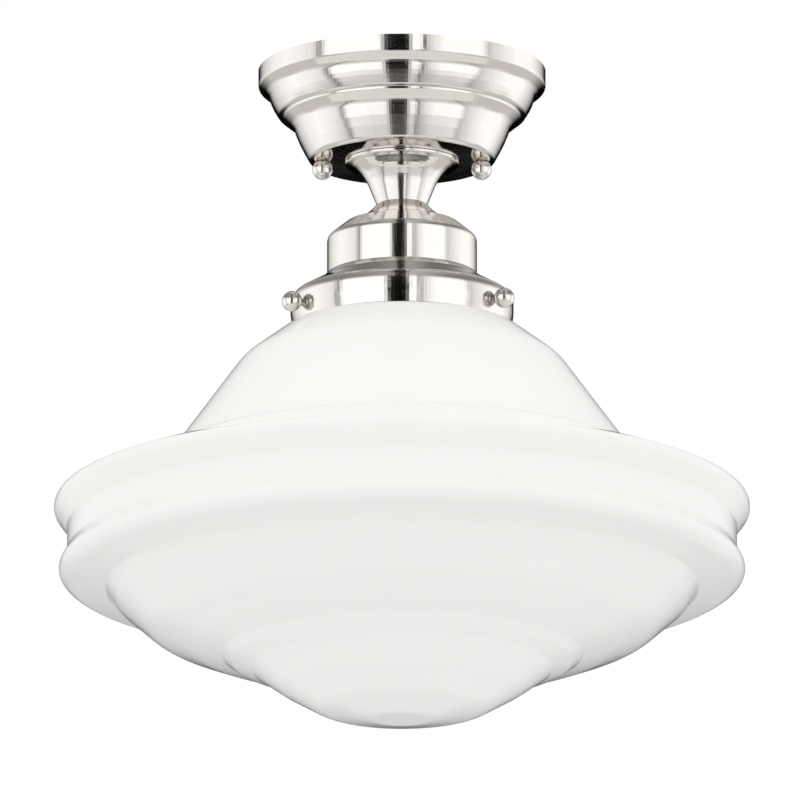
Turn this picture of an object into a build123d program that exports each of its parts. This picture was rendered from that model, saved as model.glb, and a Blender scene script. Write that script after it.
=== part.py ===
"""Semi flush ceiling light: a spun canopy, a trumpet neck, a shade holder and an opal glass shade.

Millimetres, +Z up.  The origin is on the fitting's axis in the ceiling plane, which is also the top
of the mounting strap and of the canopy's rim, so the whole light hangs below z = 0.  The shade's
thumb screws stand at three angles counted from the front (-Y) towards +X.
"""
import os
from math import hypot, radians, sqrt, tan

from build123d import *

# ---------------------------------------------------------------- driving dimensions: mounting
STRAP_END = 3.05                  # past each box screw slot
STRAP_WIDTH = 19.0
STRAP_THICKNESS = 2.0
STRAP_CORNER_RADIUS = 4.75
BOX_SCREW_SPACING = 88.9          # 3 1/2 in between an octagon box's two screws
BOX_SLOT_WIDTH = 5.0
BOX_SLOT_LENGTH = 9.0
STUD_INBOARD = 9.525              # each canopy stud from its box screw, towards the axis
STUD_RADIUS = 2.08                # 8-32 thread
STUD_BELOW_CANOPY = 5.4           # how far each stud comes out under the canopy
STUD_NUT_ACROSS_FLATS = 8.7
STUD_NUT_HEIGHT = 3.2
GROUND_SCREW_PLACE = 17.5         # from the axis, along the strap
GROUND_SCREW_RADIUS = 2.35        # 10-32 thread
GROUND_FLANGE_RADIUS = 5.2
GROUND_FLANGE_HEIGHT = 1.0
GROUND_HEAD_ACROSS_FLATS = 7.9
GROUND_HEAD_HEIGHT = 2.4

# ---------------------------------------------------------------- driving dimensions: canopy
CANOPY_RADIUS = 63.2
CANOPY_DEPTH = 41.2
CANOPY_WALL = 0.9
CANOPY_STUD_HOLE_RADIUS = 2.6
CANOPY_RIM_HEIGHT = 7.9
CANOPY_BAND_INSET = 4.4           # each inset is counted in from the rim
CANOPY_BAND_TOP = 9.9             # each of these heights is counted down from the ceiling
CANOPY_BAND_WAIST_INSET = 6.0
CANOPY_BAND_WAIST = 16.2
CANOPY_BAND_FOOT_INSET = 9.2
CANOPY_BEAD_INSET = 10.6
CANOPY_BEAD_TOP = 20.55
CANOPY_BEAD_HEIGHT = 2.45
CANOPY_DRUM_INSET = 14.8
CANOPY_DRUM_TOP = 24.8
CANOPY_DRUM_WAIST_INSET = 17.4
CANOPY_DRUM_WAIST = 32.2
CANOPY_FOOT_MARGIN = 5.475        # the flat bottom's edge past a stud's middle line
BALL_RADIUS = 4.5                 # ball nuts and thumb screw heads alike
BALL_NUT_SEAT_RADIUS = 3.2
BALL_NUT_BORE_DEPTH = 6.2

# ---------------------------------------------------------------- driving dimensions: centre stack
NIPPLE_RADIUS = 5.1               # 1/8 in running lamp thread
NIPPLE_BORE_RADIUS = 3.6
NIPPLE_ABOVE_NUT = 2.0
LOCKNUT_ACROSS_FLATS = 14.3
LOCKNUT_HEIGHT = 3.2
CANOPY_WASHER_RADIUS = 15.0
CANOPY_WASHER_THICKNESS = 1.2
LOCK_WASHER_RADIUS = 8.6
LOCK_WASHER_THICKNESS = 1.2
LOCK_WASHER_GAP = 1.6
LOCK_WASHER_SKEW = 70.0           # degrees, of its split
RING_TERMINAL_RADIUS = 8.2
RING_TERMINAL_THICKNESS = 0.8
RING_TERMINAL_REACH = 17.0        # to the middle of its crimp barrel
RING_TERMINAL_TONGUE_WIDTH = 5.0
CRIMP_LENGTH = 7.0

NECK_LENGTH = 19.7
NECK_FLANGE_RADIUS = 25.2
NECK_BEAD_HEIGHT = 1.9
NECK_BEAD_ROUNDING = 0.9
NECK_FOOT_RADIUS = 11.4
NECK_WALL = 1.3
NECK_WEB = 2.2                    # the nipple passes through it at the foot
NECK_FOOT_EASE = 0.4
NECK_MOUTH_RADIUS = 20.8          # where the trumpet leaves its flange
NECK_THROAT_RADIUS = 19.8
NECK_THROAT_DROP = 3.2            # each drop is counted down from the canopy
NECK_WAIST_RADIUS = 15.4
NECK_WAIST_DROP = 9.8

# ---------------------------------------------------------------- driving dimensions: holder
CUP_RADIUS = 32.9
CUP_HEIGHT = 32.0
CUP_WALL = 0.9
CUP_TOP_RADIUS = 11.0
CUP_FLARE_RADIUS = 17.1
CUP_FLARE_DROP = 6.4              # each drop is counted down from the neck
CUP_SHOULDER_RADIUS = 25.3
CUP_SHOULDER_DROP = 8.6
CUP_DRUM_DROP = 15.3
HOLDER_ROOM = 8.9                 # the holder's radius past the glass neck's
HOLDER_CURL = 1.1                 # how far its rim curls in
HOLDER_HEIGHT = 24.0
HOLDER_WALL = 0.9
HOLDER_LEDGE = 0.5                # its top face past the cup's drum
HOLDER_SLOPE = 32.0               # degrees, of the cone round the top face
HOLDER_CURL_HEIGHT = 6.0
HOLDER_WASHER_RADIUS = 12.0
HOLDER_WASHER_THICKNESS = 1.0
THUMB_SCREW_ANGLES = (-63.6, 56.4, 176.4)   # degrees from the front
THUMB_SCREW_DROP = 8.15           # screw line below the foot of the holder's cone
THUMB_SCREW_RADIUS = 1.5
THUMB_COLLAR_RADIUS = 3.2
THUMB_COLLAR_DEPTH = 3.0

# ---------------------------------------------------------------- driving dimensions: glass
GLASS_WALL = 3.0
GLASS_NECK_RADIUS = 40.1
GLASS_LIP_PROJECTION = 1.2        # 3 1/4 in fitter over the lip
GLASS_LIP_HEIGHT = 2.4
GLASS_LIP_ABOVE_SCREWS = 4.2      # lower edge of the lip above the screws' middle line
GLASS_LIP_ROUNDING = 0.8
GLASS_SHOULDER_MARGIN = 1.8       # the shoulder's turn past the holder
SHADE_RADIUS = 152.4              # 12 in across
GROOVE_DEPTH = 5.7
LOWER_RIB_INSET = 2.2
# corners of the dome, each as (radius, step down from the corner above it, rounding)
DOME_CORNERS = ((70.7, 14.9, 30.0), (103.1, 44.6, 8.0))
UPPER_RIB_STEPS = (18.2, 4.2)
GROOVE_STEPS = (7.4, 11.8)
LOWER_RIB_STEPS = (5.8, 5.0)
# first tier of the bowl, each corner as (inset from the shade's radius, step down, rounding)
FIRST_TIER = ((22.0, 0.6, 2.6), (28.4, 10.3, 10.0), (42.7, 13.5, 25.0))
# second tier, the bead under it and the third tier, as (radius, step down, rounding)
LOWER_TIERS = ((92.0, 7.2, 50.0), (79.0, 3.6, 3.5), (74.5, 3.0, 4.5), (67.0, 1.6, 5.0),
               (53.2, 10.4, 20.0), (36.7, 9.4, 22.0))
POLE_STEP = 4.3
POLE_RADIUS = 13.0                # of the nearly flat spot at the bottom
POLE_ROUNDING = 30.0

# ---------------------------------------------------------------- driving dimensions: lamp socket
BRACKET_WIDTH = 12.0
BRACKET_THICKNESS = 1.6
BRACKET_HEIGHT = 12.0
BRACKET_SPAN = 18.0               # outside the two legs
BRACKET_FOOT = 6.0                # how far each foot reaches out
BRACKET_SCREW_RADIUS = 1.5
BRACKET_SCREW_LENGTH = 6.0
SCREW_HEAD_RADIUS = 2.9
SCREW_HEAD_HEIGHT = 1.7
SCREW_HEAD_ROUNDING = 0.75
SCREW_SLOT_WIDTH = 0.8
SCREW_SLOT_DEPTH = 0.6
SOCKET_RADIUS = 19.0
SOCKET_HEIGHT = 38.0
SOCKET_BORE_RADIUS = 14.8
SOCKET_BORE_DEPTH = 29.0
SHELL_CREST_RADIUS = 12.65        # E26 screw shell, inside its threads
SHELL_THREAD_DEPTH = 0.75
SHELL_PITCH = 3.629               # seven threads to the inch
SHELL_TURNS = 5
SHELL_PLAIN_LENGTH = 4.0          # unthreaded, beside the centre contact
SHELL_WALL = 0.35
SHELL_FLAT = 1.09                 # flat length of each crest and of each groove
SHELL_BASE_MARGIN = 1.0           # between the contact's end and the shell's base
CONTACT_WIDTH = 6.0
CONTACT_THICKNESS = 0.6
CONTACT_LENGTH = 15.0
CONTACT_RISE = 3.5
CONTACT_TIP = 6.0                 # of its free end from the axis
CONTACT_RIVET_PLACE = -4.1
CONTACT_RIVET_RADIUS = 1.6
TERMINAL_PLACE = 12.0             # of each terminal screw, from the axis along X
TERMINAL_SCREW_RADIUS = 1.7
TERMINAL_SCREW_DEPTH = 4.0

# ---------------------------------------------------------------- driving dimensions: wiring
LEAD_RADIUS = 1.1
GROUND_LEAD_RADIUS = 0.9
LEAD_SPREAD = 1.65                # of the two leads from the axis, inside the nipple
WIRE_NUT_LENGTH = 20.0
WIRE_NUT_MOUTH_RADIUS = 6.0
WIRE_NUT_TIP_RADIUS = 4.2
WIRE_NUT_GRIP = 9.0               # how deep a lead reaches into its connector
WIRE_NUT_APPROACH = 4.0           # how far a lead runs straight before its connector
WIRE_NUT_DROP = 19.0              # of the connectors' axis below the ceiling
WIRE_NUT_FROM_RIM = 39.2          # of each connector's mouth, in from the canopy's rim
WIRE_NUT_FORWARD = 23.0
LEAD_RISE = 2.0                   # of each lead past the nipple's end before it turns
LEAD_TURN = (9.0, 11.0)           # to its side and forward, where it turns to its connector
# waypoints round the back of the canopy, as (side, back, drop from the strap)
GROUND_LEAD_TURNS = ((29.5, 16.0, 3.4), (20.0, 33.0, 14.9))
GROUND_LEAD_LAST_TURN = (4.0, 38.0, 5.0)   # the last number is a rise above the crimp
GROUND_LEAD_DESCENT = 27.0
GROUND_LEAD_LOOP = (3.0, 8.0)     # round the screw: before and past its middle
WIRE_NUT_FLUTES = 6
WIRE_NUT_FLUTE_RADIUS = 0.7
WIRE_NUT_FLUTE_LENGTH = 15.0

# ---------------------------------------------------------------- clearances
THREAD_CLEARANCE = 0.05           # a thread in its tapped hole
SCREW_CLEARANCE = 0.06            # a thumb screw in its collar
HOLE_CLEARANCE = 0.1              # the nipple through a plain hole
TIP_CLEARANCE = 0.3               # a thumb screw's tip off the glass neck
SEAT_CLEARANCE = 0.25             # a ball off the metal behind it
RIM_CLEARANCE = 0.8               # the glass shoulder under the holder's rim
WIRE_CLEARANCE = 0.1              # a lead in its connector or crimp
CEILING_CLEARANCE = 0.1           # the upper end of a stud or screw below the ceiling
HOLE_END_CLEARANCE = 0.3          # a screw's tip or a lead's end off the end of its blind hole
NIPPLE_END = 0.4                  # the nipple's lower end past the bracket's plate


# ================================================================ helpers
def on_axis_plane(face):
    """Lay a face drawn with x as radius and y as height into the X-Z plane."""
    return Plane.XZ * face


def spun(corners):
    """Turn a closed outline of (radius, height, fillet) corners round the Z axis."""
    points = [(radius, height) for radius, height, _ in corners]
    outline = FilletPolyline(*points, radius=[fillet for _, _, fillet in corners], close=True)
    return revolve(on_axis_plane(make_face(outline.edges())), Axis.Z, 360)


def inner_corners(corners, wall):
    """Offset an outline's corners to the inner side of its wall, with the fillets to suit."""
    directions = []
    for (r0, z0, _), (r1, z1, _) in zip(corners, corners[1:]):
        length = hypot(r1 - r0, z1 - z0)
        directions.append(((r1 - r0) / length, (z1 - z0) / length))
    result = []
    for i, (radius, height, fillet) in enumerate(corners):
        before = directions[max(i - 1, 0)]
        after = directions[min(i, len(directions) - 1)]
        normal = (before[1] + after[1], -before[0] - after[0])
        scale = wall / (1 + before[0] * after[0] + before[1] * after[1])
        turn = before[0] * after[1] - before[1] * after[0]
        if fillet == 0:
            inner_fillet = 0
        elif turn < 0:
            inner_fillet = max(fillet - wall, 0)
        else:
            inner_fillet = fillet + wall
        result.append((radius + normal[0] * scale, height + normal[1] * scale, inner_fillet))
    return result


def spun_shell(corners, wall):
    """A shell of even wall whose outside follows the corners, from top to bottom."""
    return spun(corners + inner_corners(corners, wall)[::-1])


def tube(outer, inner, low, high):
    """A plain ring about the Z axis."""
    return spun([(inner, low, 0), (outer, low, 0), (outer, high, 0), (inner, high, 0)])


def disc(radius, low, high):
    """A plain cylinder about the Z axis."""
    return Pos(0, 0, (low + high) / 2) * Cylinder(radius, high - low)


def hex_prism(across_flats, low, high):
    """A hexagon on the Z axis, its corners eased top and bottom."""
    corner_radius = across_flats / sqrt(3)
    body = extrude(Pos(0, 0, low) * RegularPolygon(corner_radius, 6), high - low)
    ease = (corner_radius - across_flats / 2) * tan(radians(30))
    barrel = spun([(0, low, 0), (across_flats / 2, low, 0), (corner_radius, low + ease, 0),
                   (corner_radius, high - ease, 0), (across_flats / 2, high, 0), (0, high, 0)])
    return body & barrel


def hex_nut(across_flats, bore, low, high):
    return hex_prism(across_flats, low, high) - disc(bore, low, high)


def slot(length, width, low, high):
    """A round-ended slot along X."""
    return extrude(Pos(0, 0, low) * SlotOverall(length, width), high - low)


def wire_along(points, radii, radius):
    """A round wire along straight runs joined by arcs."""
    path = FilletPolyline(*points, radius=radii)
    section = Plane(origin=path @ 0, z_dir=path % 0) * Circle(radius)
    return sweep(section, path=Wire(path.edges()))


def pan_head_screw(head_radius, head_height, shank_radius, shank_length):
    """A slotted pan head on z = 0, its shank going down."""
    head = spun([(0, 0, 0), (head_radius, 0, 0), (head_radius, head_height, SCREW_HEAD_ROUNDING),
                 (0, head_height, 0)])
    cut = Pos(0, 0, head_height) * Box(2 * head_radius, SCREW_SLOT_WIDTH, 2 * SCREW_SLOT_DEPTH)
    return (head - cut) + disc(shank_radius, -shank_length, 0)


# ================================================================ places off the axis
BOX_SCREW_PLACE = BOX_SCREW_SPACING / 2
STUD_PLACE = BOX_SCREW_PLACE - STUD_INBOARD
STRAP_LENGTH = BOX_SCREW_SPACING + BOX_SLOT_LENGTH + 2 * STRAP_END
WIRE_NUT_PLACE = CANOPY_RADIUS - WIRE_NUT_FROM_RIM
HOLDER_FACE_RADIUS = CUP_RADIUS + HOLDER_LEDGE
HOLDER_RADIUS = GLASS_NECK_RADIUS + HOLDER_ROOM
HOLDER_RIM_RADIUS = HOLDER_RADIUS - HOLDER_CURL
GLASS_LIP_RADIUS = GLASS_NECK_RADIUS + GLASS_LIP_PROJECTION
GLASS_SHOULDER_RADIUS = HOLDER_RADIUS + GLASS_SHOULDER_MARGIN
NIPPLE_HOLE = NIPPLE_RADIUS + HOLE_CLEARANCE

# ================================================================ levels down the axis
STRAP_BOTTOM = -STRAP_THICKNESS
CANOPY_BOTTOM = -CANOPY_DEPTH
CANOPY_FLOOR = CANOPY_BOTTOM + CANOPY_WALL
CANOPY_WASHER_TOP = CANOPY_FLOOR + CANOPY_WASHER_THICKNESS
RING_TERMINAL_TOP = CANOPY_WASHER_TOP + RING_TERMINAL_THICKNESS
LOCK_WASHER_TOP = RING_TERMINAL_TOP + LOCK_WASHER_THICKNESS
CANOPY_LOCKNUT_TOP = LOCK_WASHER_TOP + LOCKNUT_HEIGHT
NIPPLE_TOP = CANOPY_LOCKNUT_TOP + NIPPLE_ABOVE_NUT
NECK_BOTTOM = CANOPY_BOTTOM - NECK_LENGTH
HOLDER_TOP = NECK_BOTTOM - CUP_HEIGHT
HOLDER_CEILING = HOLDER_TOP - HOLDER_WALL
HOLDER_RIM = HOLDER_TOP - HOLDER_HEIGHT
HOLDER_CONE_FOOT = HOLDER_TOP - (HOLDER_RADIUS - HOLDER_FACE_RADIUS) * tan(radians(HOLDER_SLOPE))
HOLDER_WASHER_BOTTOM = HOLDER_CEILING - HOLDER_WASHER_THICKNESS
HOLDER_LOCKNUT_BOTTOM = HOLDER_WASHER_BOTTOM - LOCKNUT_HEIGHT
BRACKET_TOP = HOLDER_LOCKNUT_BOTTOM
NIPPLE_BOTTOM = BRACKET_TOP - BRACKET_THICKNESS - NIPPLE_END
SOCKET_TOP = BRACKET_TOP - BRACKET_HEIGHT
SOCKET_MOUTH = SOCKET_TOP - SOCKET_HEIGHT
SOCKET_FLOOR = SOCKET_MOUTH + SOCKET_BORE_DEPTH
THUMB_SCREW_LEVEL = HOLDER_CONE_FOOT - THUMB_SCREW_DROP
SHOULDER_LEVEL = HOLDER_RIM - RIM_CLEARANCE


# ================================================================ mounting pieces
def mounting_strap():
    strap = Pos(0, 0, STRAP_BOTTOM / 2) * Box(STRAP_LENGTH, STRAP_WIDTH, STRAP_THICKNESS)
    strap = fillet(strap.edges().filter_by(Axis.Z), STRAP_CORNER_RADIUS)
    strap -= disc(NIPPLE_HOLE, STRAP_BOTTOM, 0)
    stud_hole = disc(STUD_RADIUS + THREAD_CLEARANCE, STRAP_BOTTOM, 0)
    for side in (-1, 1):
        strap -= Pos(side * STUD_PLACE, 0, 0) * stud_hole
        strap -= Pos(side * BOX_SCREW_PLACE, 0, 0) * slot(
            BOX_SLOT_LENGTH, BOX_SLOT_WIDTH, STRAP_BOTTOM, 0)
    ground_hole = disc(GROUND_SCREW_RADIUS + THREAD_CLEARANCE, STRAP_BOTTOM, 0)
    return strap - Pos(GROUND_SCREW_PLACE, 0, 0) * ground_hole


def canopy_stud(side):
    bottom = CANOPY_BOTTOM - STUD_BELOW_CANOPY
    stud = disc(STUD_RADIUS, bottom, -CEILING_CLEARANCE)
    stud = chamfer(stud.edges(), 0.4)
    return Pos(side * STUD_PLACE, 0, 0) * stud


def stud_nut(side):
    nut = hex_nut(STUD_NUT_ACROSS_FLATS, STUD_RADIUS + THREAD_CLEARANCE,
                  STRAP_BOTTOM - STUD_NUT_HEIGHT, STRAP_BOTTOM)
    return Pos(side * STUD_PLACE, 0, 0) * nut


def ground_screw():
    """Hexagon washer head under the strap; the ground lead is held between the two."""
    wire_room = 2 * GROUND_LEAD_RADIUS
    flange_top = STRAP_BOTTOM - wire_room
    flange_bottom = flange_top - GROUND_FLANGE_HEIGHT
    head = hex_prism(GROUND_HEAD_ACROSS_FLATS, flange_bottom - GROUND_HEAD_HEIGHT, flange_bottom)
    screw = head + disc(GROUND_FLANGE_RADIUS, flange_bottom, flange_top)
    screw += disc(GROUND_SCREW_RADIUS, flange_top, -CEILING_CLEARANCE)
    return Pos(GROUND_SCREW_PLACE, 0, 0) * screw


# ================================================================ canopy and centre stack
def canopy():
    """Spun in steps: upright rim, a rounded band, a beaded step and a tapering drum."""
    bead_radius = CANOPY_RADIUS - CANOPY_BEAD_INSET
    outside = [
        (CANOPY_RADIUS, 0, 0),
        (CANOPY_RADIUS, -CANOPY_RIM_HEIGHT, 1.5),
        (CANOPY_RADIUS - CANOPY_BAND_INSET, -CANOPY_BAND_TOP, 1.2),
        (CANOPY_RADIUS - CANOPY_BAND_WAIST_INSET, -CANOPY_BAND_WAIST, 9.0),
        (CANOPY_RADIUS - CANOPY_BAND_FOOT_INSET, -CANOPY_BEAD_TOP, 2.2),
        (bead_radius, -CANOPY_BEAD_TOP, 0.4),
        (bead_radius, -CANOPY_BEAD_TOP - CANOPY_BEAD_HEIGHT, 1.2),
        (CANOPY_RADIUS - CANOPY_DRUM_INSET, -CANOPY_DRUM_TOP, 1.6),
        (CANOPY_RADIUS - CANOPY_DRUM_WAIST_INSET, -CANOPY_DRUM_WAIST, 22.0),
        (STUD_PLACE + CANOPY_FOOT_MARGIN, CANOPY_BOTTOM, 3.0),
        (NIPPLE_HOLE, CANOPY_BOTTOM, 0),
    ]
    shell = spun_shell(outside, CANOPY_WALL)
    for side in (-1, 1):
        hole = disc(CANOPY_STUD_HOLE_RADIUS, CANOPY_BOTTOM - 1, CANOPY_FLOOR + 1)
        shell -= Pos(side * STUD_PLACE, 0, 0) * hole
    return shell


def ball_nut(side):
    """A ball with a flat seat, tapped from the seat to take its stud."""
    seat_drop = sqrt(BALL_RADIUS ** 2 - BALL_NUT_SEAT_RADIUS ** 2)
    seat_level = CANOPY_BOTTOM - SEAT_CLEARANCE
    ball = Pos(0, 0, seat_level - seat_drop) * Sphere(BALL_RADIUS)
    ball -= Pos(0, 0, seat_level + BALL_RADIUS) * Box(
        3 * BALL_RADIUS, 3 * BALL_RADIUS, 2 * BALL_RADIUS)
    ball -= disc(STUD_RADIUS + THREAD_CLEARANCE, seat_level - BALL_NUT_BORE_DEPTH, seat_level)
    return Pos(side * STUD_PLACE, 0, 0) * ball


def nipple():
    pipe = tube(NIPPLE_RADIUS, NIPPLE_BORE_RADIUS, NIPPLE_BOTTOM, NIPPLE_TOP)
    ends = pipe.edges().filter_by(GeomType.CIRCLE).filter_by(
        lambda edge: edge.radius > (NIPPLE_RADIUS + NIPPLE_BORE_RADIUS) / 2)
    return chamfer(ends, 0.5)


def lock_washer():
    """A split spring washer."""
    ring = tube(LOCK_WASHER_RADIUS, NIPPLE_HOLE, RING_TERMINAL_TOP, LOCK_WASHER_TOP)
    split = Rot(0, 0, LOCK_WASHER_SKEW) * Box(
        LOCK_WASHER_RADIUS, LOCK_WASHER_GAP, 4 * LOCK_WASHER_THICKNESS)
    return ring - Pos(0, LOCK_WASHER_RADIUS, RING_TERMINAL_TOP) * split


def ring_terminal():
    """A flat eye on the nipple, with a crimp barrel on a short tongue towards the back."""
    level = CANOPY_WASHER_TOP
    eye = disc(RING_TERMINAL_RADIUS, level, RING_TERMINAL_TOP)
    tongue = Pos(0, RING_TERMINAL_REACH / 2, level + RING_TERMINAL_THICKNESS / 2) * Box(
        RING_TERMINAL_TONGUE_WIDTH, RING_TERMINAL_REACH, RING_TERMINAL_THICKNESS)
    bore = GROUND_LEAD_RADIUS + WIRE_CLEARANCE
    barrel_radius = bore + RING_TERMINAL_THICKNESS
    barrel = Cylinder(barrel_radius, CRIMP_LENGTH) - Cylinder(bore, CRIMP_LENGTH)
    barrel = Pos(0, RING_TERMINAL_REACH, level + barrel_radius) * Rot(90, 0, 0) * barrel
    hole = disc(NIPPLE_HOLE, level - 1, RING_TERMINAL_TOP + 1)
    tongue -= Pos(0, RING_TERMINAL_REACH, level + barrel_radius) * Rot(90, 0, 0) * Cylinder(
        bore, CRIMP_LENGTH)
    return (eye + tongue - hole) + barrel


def neck():
    """A beaded flange against the canopy, then a trumpet down to a narrow foot."""
    outside = [
        (NECK_MOUTH_RADIUS, CANOPY_BOTTOM - NECK_BEAD_HEIGHT, 0),
        (NECK_THROAT_RADIUS, CANOPY_BOTTOM - NECK_THROAT_DROP, 3.0),
        (NECK_WAIST_RADIUS, CANOPY_BOTTOM - NECK_WAIST_DROP, 14.0),
        (NECK_FOOT_RADIUS, NECK_BOTTOM, 0),
    ]
    inside = inner_corners(outside, NECK_WALL)
    trumpet = [
        (NIPPLE_HOLE, NECK_BOTTOM, 0),
        (NIPPLE_HOLE, NECK_BOTTOM + NECK_WEB, 0),
        (inside[3][0] + NECK_FOOT_EASE, NECK_BOTTOM + NECK_WEB, 0),
        inside[2],
        inside[1],
        (inside[0][0], CANOPY_BOTTOM, 0),
    ]
    rim = [
        (NECK_FLANGE_RADIUS, CANOPY_BOTTOM, NECK_BEAD_ROUNDING),
        (NECK_FLANGE_RADIUS, CANOPY_BOTTOM - NECK_BEAD_HEIGHT, NECK_BEAD_ROUNDING),
    ]
    return spun(trumpet + rim + outside)


# ================================================================ cup and shade holder
def socket_cup():
    """A flared cap, a rounded shoulder and an upright drum that stands on the holder."""
    outside = [
        (NIPPLE_HOLE, NECK_BOTTOM, 0),
        (CUP_TOP_RADIUS, NECK_BOTTOM, 0.4),
        (CUP_FLARE_RADIUS, NECK_BOTTOM - CUP_FLARE_DROP, 24.0),
        (CUP_SHOULDER_RADIUS, NECK_BOTTOM - CUP_SHOULDER_DROP, 3.0),
        (CUP_RADIUS, NECK_BOTTOM - CUP_DRUM_DROP, 3.6),
        (CUP_RADIUS, HOLDER_TOP, 0),
    ]
    return spun_shell(outside, CUP_WALL)


def around(angle, radius, level, piece):
    """Place a piece, drawn pointing out along +X, at an angle counted from the front."""
    return Rot(0, 0, angle - 90) * Pos(radius, 0, level) * piece


def shade_holder():
    """A pan with a flat top and a curled skirt, tapped in three collars for the thumb screws."""
    outside = [
        (NIPPLE_HOLE, HOLDER_TOP, 0),
        (HOLDER_FACE_RADIUS, HOLDER_TOP, 1.2),
        (HOLDER_RADIUS, HOLDER_CONE_FOOT, 5.2),
        (HOLDER_RADIUS, HOLDER_RIM + HOLDER_CURL_HEIGHT, 14.0),
        (HOLDER_RIM_RADIUS, HOLDER_RIM, 0),
    ]
    pan = spun_shell(outside, HOLDER_WALL)
    inner = HOLDER_RADIUS - HOLDER_WALL
    bore = THUMB_SCREW_RADIUS + SCREW_CLEARANCE
    collar_length = THUMB_COLLAR_DEPTH + HOLDER_WALL / 4
    for angle in THUMB_SCREW_ANGLES:
        collar = Rot(0, 90, 0) * Cylinder(THUMB_COLLAR_RADIUS, collar_length)
        pan += around(angle, inner + HOLDER_WALL / 4 - collar_length / 2, THUMB_SCREW_LEVEL, collar)
    for angle in THUMB_SCREW_ANGLES:
        hole = Rot(0, 90, 0) * Cylinder(bore, 4 * THUMB_COLLAR_DEPTH)
        pan -= around(angle, inner, THUMB_SCREW_LEVEL, hole)
    return pan


def thumb_screw(angle):
    """A ball head on a plain shank whose eased tip stands off the glass neck."""
    tip = GLASS_NECK_RADIUS + TIP_CLEARANCE
    ball_place = HOLDER_RADIUS + BALL_RADIUS + SEAT_CLEARANCE
    length = ball_place - tip
    shank = chamfer(Cylinder(THUMB_SCREW_RADIUS, length).edges(), 0.5)
    shank = Pos(-length / 2, 0, 0) * Rot(0, 90, 0) * shank
    return around(angle, ball_place, THUMB_SCREW_LEVEL, shank + Sphere(BALL_RADIUS))


# ================================================================ glass shade
def bowl_outside():
    """The opal shade's outline under its neck: dome, two ribs with a groove, a three-tier bowl."""
    groove_radius = SHADE_RADIUS - GROOVE_DEPTH
    lower_rib_radius = SHADE_RADIUS - LOWER_RIB_INSET
    steps = [
        (GLASS_SHOULDER_RADIUS, 0, 2.5),
        *DOME_CORNERS,
        (SHADE_RADIUS, UPPER_RIB_STEPS[0], 3.8),
        (SHADE_RADIUS, UPPER_RIB_STEPS[1], 3.6),
        (groove_radius, GROOVE_STEPS[0], 1.8),
        (groove_radius, GROOVE_STEPS[1], 4.0),
        (lower_rib_radius, LOWER_RIB_STEPS[0], 4.0),
        (lower_rib_radius, LOWER_RIB_STEPS[1], 3.0),
        *[(SHADE_RADIUS - inset, step, rounding) for inset, step, rounding in FIRST_TIER],
        *LOWER_TIERS,
        (POLE_RADIUS, POLE_STEP, POLE_ROUNDING),
        (0, 0, 0),
    ]
    level = SHOULDER_LEVEL
    corners = []
    for radius, step, rounding in steps:
        level -= step
        corners.append((radius, level, rounding))
    return corners


def glass_shade():
    lip_bottom = THUMB_SCREW_LEVEL + GLASS_LIP_ABOVE_SCREWS
    lip_top = lip_bottom + GLASS_LIP_HEIGHT
    lip = [
        (GLASS_NECK_RADIUS - GLASS_WALL, lip_top, 0),
        (GLASS_LIP_RADIUS, lip_top, GLASS_LIP_ROUNDING),
        (GLASS_LIP_RADIUS, lip_bottom, GLASS_LIP_ROUNDING),
    ]
    outside = [(GLASS_NECK_RADIUS, lip_bottom, 0.3), (GLASS_NECK_RADIUS, SHOULDER_LEVEL, 2.5)]
    outside += bowl_outside()
    inside = inner_corners(outside, GLASS_WALL)[1:]
    return spun(lip + outside + inside[::-1])


# ================================================================ lamp socket
def socket_bracket():
    """A bent steel strap: tapped top plate, two legs and two feet on the porcelain."""
    half = BRACKET_SPAN / 2
    plate = Pos(0, 0, BRACKET_TOP - BRACKET_THICKNESS / 2) * Box(
        BRACKET_WIDTH, BRACKET_SPAN, BRACKET_THICKNESS)
    for side in (-1, 1):
        plate += Pos(0, side * (half - BRACKET_THICKNESS / 2), (BRACKET_TOP + SOCKET_TOP) / 2) * Box(
            BRACKET_WIDTH, BRACKET_THICKNESS, BRACKET_HEIGHT)
        foot_place = half + BRACKET_FOOT / 2 - BRACKET_THICKNESS / 2
        plate += Pos(0, side * foot_place, SOCKET_TOP + BRACKET_THICKNESS / 2) * Box(
            BRACKET_WIDTH, BRACKET_FOOT + BRACKET_THICKNESS, BRACKET_THICKNESS)
        plate -= Pos(0, side * (half + BRACKET_FOOT / 2), SOCKET_TOP) * Cylinder(
            BRACKET_SCREW_RADIUS + HOLE_CLEARANCE, 4 * BRACKET_THICKNESS)
    return plate - disc(NIPPLE_RADIUS + THREAD_CLEARANCE, NIPPLE_BOTTOM - 1, BRACKET_TOP + 1)


def bracket_screw(side):
    screw = pan_head_screw(SCREW_HEAD_RADIUS, SCREW_HEAD_HEIGHT, BRACKET_SCREW_RADIUS,
                           BRACKET_SCREW_LENGTH)
    place = side * (BRACKET_SPAN + BRACKET_FOOT) / 2
    return Pos(0, place, SOCKET_TOP + BRACKET_THICKNESS) * screw


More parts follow.
